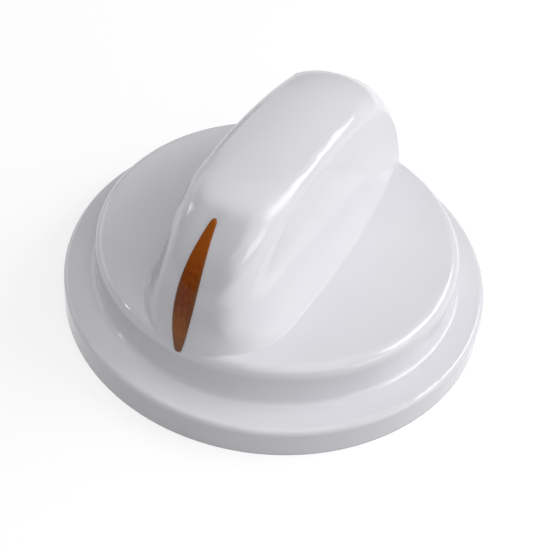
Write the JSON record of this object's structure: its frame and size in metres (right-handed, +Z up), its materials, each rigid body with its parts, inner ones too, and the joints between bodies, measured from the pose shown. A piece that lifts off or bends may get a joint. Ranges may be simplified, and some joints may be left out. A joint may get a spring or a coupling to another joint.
{
  "type": "control knob",
  "caption": "White moulded appliance control knob with a round flange, raised platform, tall finger grip and amber pointer insert, hollow below with a D-shaped shaft socket.",
  "frame": {"origin": "centre of the flange's underside, on the axis of the shaft", "axes": "+Z up along the shaft axis out of the appliance panel, -Y towards the pointer, +X to the right of the pointer"},
  "size_m": [0.06, 0.06, 0.029],
  "materials": {
    "white_abs": "polished moulded ABS",
    "amber_acrylic": "polished clear amber acrylic",
    "spring_steel": "rolled spring steel strip"
  },
  "bodies": {
    "root": {"knob_body": "white_abs", "pointer_insert": "amber_acrylic", "shaft_clip": "spring_steel"}
  },
  "joints": []
}
